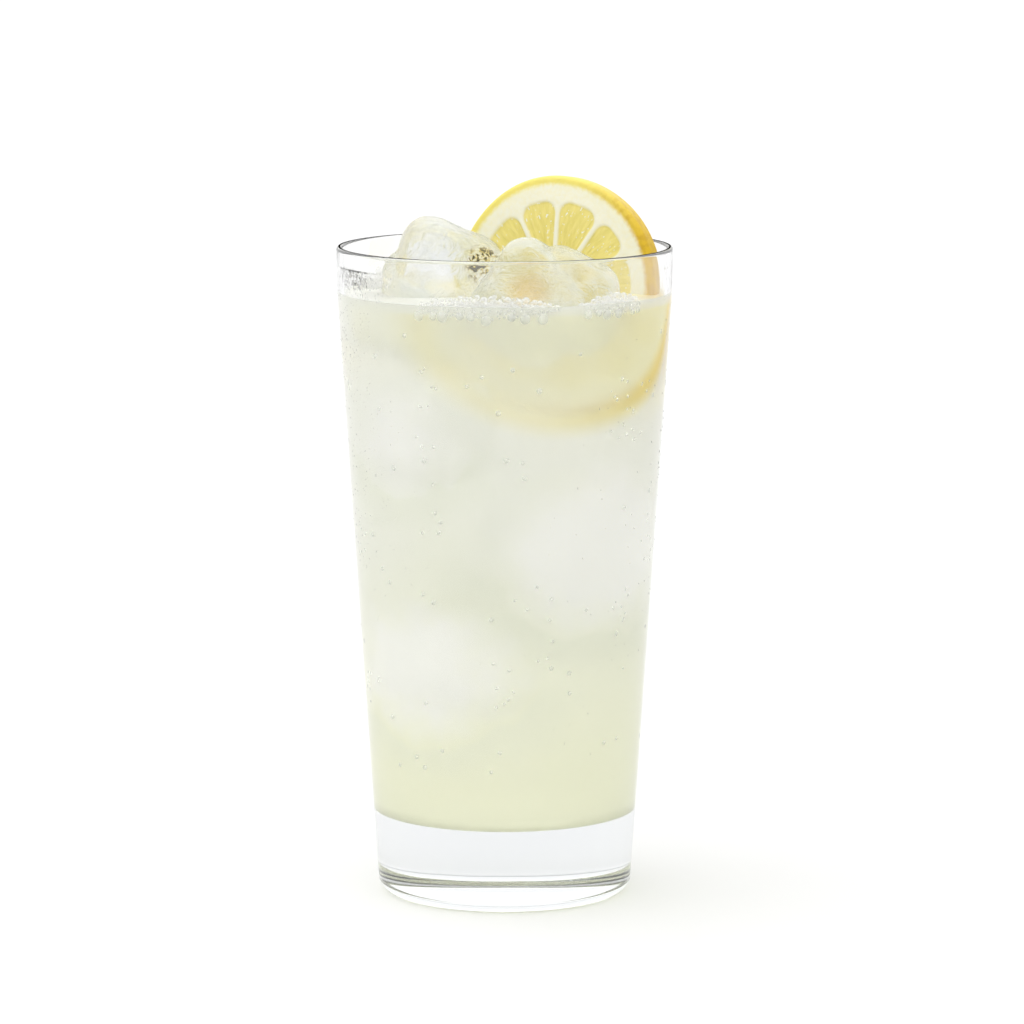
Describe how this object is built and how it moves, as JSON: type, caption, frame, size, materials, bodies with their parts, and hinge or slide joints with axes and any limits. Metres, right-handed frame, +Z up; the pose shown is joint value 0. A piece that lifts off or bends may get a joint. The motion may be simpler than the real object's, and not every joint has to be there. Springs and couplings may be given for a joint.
{
  "type": "glass of tom collins",
  "caption": "Tall tapered highball glass with a thick foot, filled with pale cloudy lemon drink, with melting ice cubes and a lemon wheel standing out of it.",
  "frame": {"origin": "middle of the foot, on the surface that the glass stands on", "axes": "+Z up along the axis of the glass, front at -Y, the lemon wheel behind and to the right at +X"},
  "size_m": [0.076, 0.076, 0.1627],
  "materials": {
    "glass": "clear, polished, faintly misted outside",
    "drink": "cloudy pale lemon, glossy surface",
    "lemon": "moist cut fruit with a waxy yellow skin",
    "ice": "wet, melting, partly cloudy"
  },
  "bodies": {
    "root": {"glass": "glass", "drink": "drink", "lemon_wheel": "lemon", "ice_cube_left": "ice", "ice_cube_front": "ice"}
  },
  "joints": []
}
